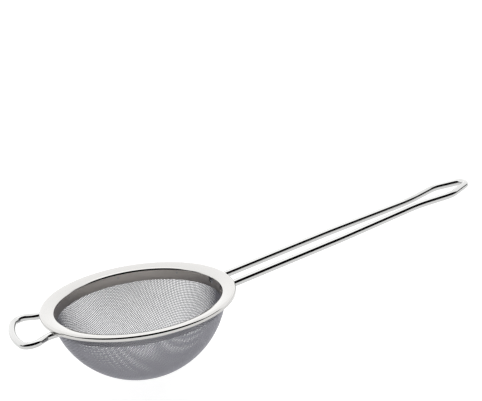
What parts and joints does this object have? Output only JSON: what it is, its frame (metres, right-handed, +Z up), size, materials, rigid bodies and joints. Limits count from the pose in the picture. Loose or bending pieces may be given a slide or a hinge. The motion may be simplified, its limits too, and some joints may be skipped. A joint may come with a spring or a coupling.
{
  "type": "tea strainer",
  "caption": "Handheld tea strainer: polished steel rim, woven wire bowl, long wire handle with a hanging eye, and a wire rest loop opposite.",
  "frame": {"origin": "centre of the mouth bore, on the bowl's axis inside the collar's straight wall, 4 mm below the rim's highest edge", "axes": "+Z up out of the bowl, +X along the handle from the bowl's axis, +Y to the left of the handle"},
  "size_m": [0.2484, 0.093, 0.0615],
  "materials": {
    "polished_steel": "mirror-polished stamped stainless steel sheet",
    "wire_cloth": "woven stainless steel wire cloth, left as woven",
    "plain_steel": "plain cold-rolled stainless steel strip, not polished",
    "polished_wire": "electropolished round stainless steel wire",
    "weld_metal": "ground tack weld in stainless steel, slightly dull"
  },
  "bodies": {
    "root": {"rim_ring": "polished_steel", "mesh_bowl": "wire_cloth", "retaining_hoop": "plain_steel", "spot_welds": "plain_steel", "handle_wire": "polished_wire", "rest_loop_wire": "polished_wire", "handle_welds": "weld_metal", "rest_loop_welds": "weld_metal"}
  },
  "joints": []
}
